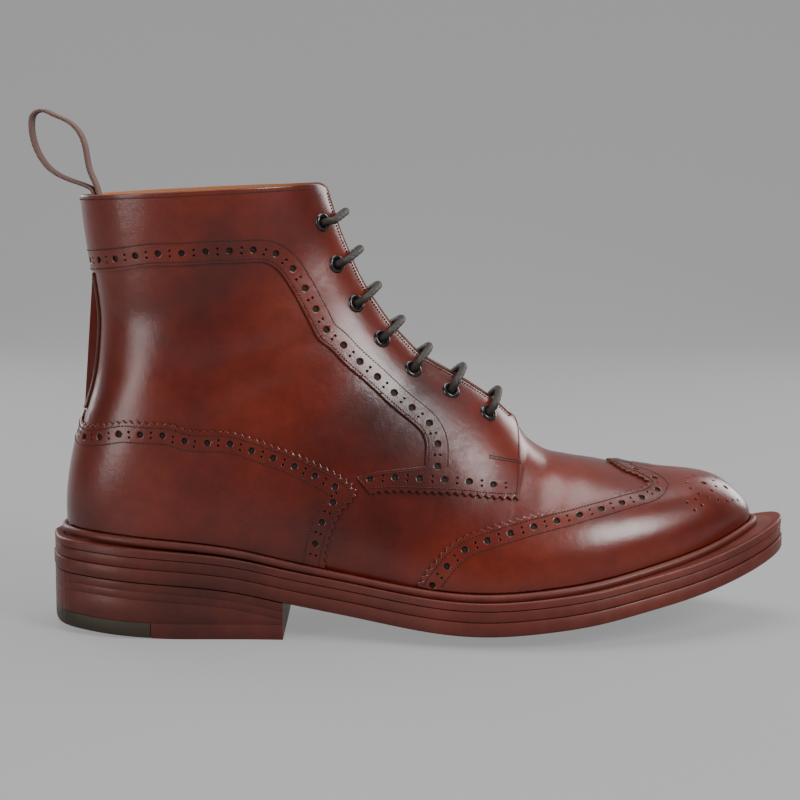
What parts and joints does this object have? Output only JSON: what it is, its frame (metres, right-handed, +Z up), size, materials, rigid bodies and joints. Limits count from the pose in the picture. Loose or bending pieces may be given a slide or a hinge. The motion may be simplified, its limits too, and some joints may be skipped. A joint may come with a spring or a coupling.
{
  "type": "brogue boot",
  "caption": "Right ankle boot in burnished leather: winged toe cap, punched overlays, laced front, storm welt, stacked heel and pull loop.",
  "frame": {"origin": "on the floor under the middle of the boot's length and width", "axes": "+X towards the toe, +Y towards the inner side of the foot, +Z up"},
  "size_m": [0.3266, 0.1122, 0.2229],
  "materials": {
    "outsole": "burnished",
    "midsole": "burnished",
    "welt": "burnished",
    "heel_lift_1": "burnished",
    "heel_lift_2": "burnished",
    "heel_lift_3": "burnished",
    "heel_top_piece": "burnished",
    "heel_rubber_tip": "matt",
    "insole": "matt",
    "upper": "polished",
    "toe_cap": "polished",
    "heel_counter": "polished",
    "facing_lateral": "polished",
    "facing_medial": "polished",
    "back_strap": "polished",
    "tongue": "satin",
    "pull_loop": "woven",
    "lace": "waxed braid",
    "eyelet_lateral_1": "gloss",
    "eyelet_lateral_2": "gloss",
    "eyelet_lateral_3": "gloss",
    "eyelet_lateral_4": "gloss",
    "eyelet_lateral_5": "gloss",
    "eyelet_lateral_6": "gloss",
    "eyelet_lateral_7": "gloss",
    "eyelet_medial_1": "gloss",
    "eyelet_medial_2": "gloss",
    "eyelet_medial_3": "gloss",
    "eyelet_medial_4": "gloss",
    "eyelet_medial_5": "gloss",
    "eyelet_medial_6": "gloss",
    "eyelet_medial_7": "gloss"
  },
  "bodies": {
    "root": {"outsole": "outsole", "midsole": "midsole", "welt": "welt", "heel_lift_1": "heel_lift_1", "heel_lift_2": "heel_lift_2", "heel_lift_3": "heel_lift_3", "heel_top_piece": "heel_top_piece", "heel_rubber_tip": "heel_rubber_tip", "insole": "insole", "upper": "upper", "toe_cap": "toe_cap", "heel_counter": "heel_counter", "facing_lateral": "facing_lateral", "facing_medial": "facing_medial", "back_strap": "back_strap", "tongue": "tongue", "pull_loop": "pull_loop", "lace": "lace", "eyelet_lateral_1": "eyelet_lateral_1", "eyelet_lateral_2": "eyelet_lateral_2", "eyelet_lateral_3": "eyelet_lateral_3", "eyelet_lateral_4": "eyelet_lateral_4", "eyelet_lateral_5": "eyelet_lateral_5", "eyelet_lateral_6": "eyelet_lateral_6", "eyelet_lateral_7": "eyelet_lateral_7", "eyelet_medial_1": "eyelet_medial_1", "eyelet_medial_2": "eyelet_medial_2", "eyelet_medial_3": "eyelet_medial_3", "eyelet_medial_4": "eyelet_medial_4", "eyelet_medial_5": "eyelet_medial_5", "eyelet_medial_6": "eyelet_medial_6", "eyelet_medial_7": "eyelet_medial_7"}
  },
  "joints": []
}
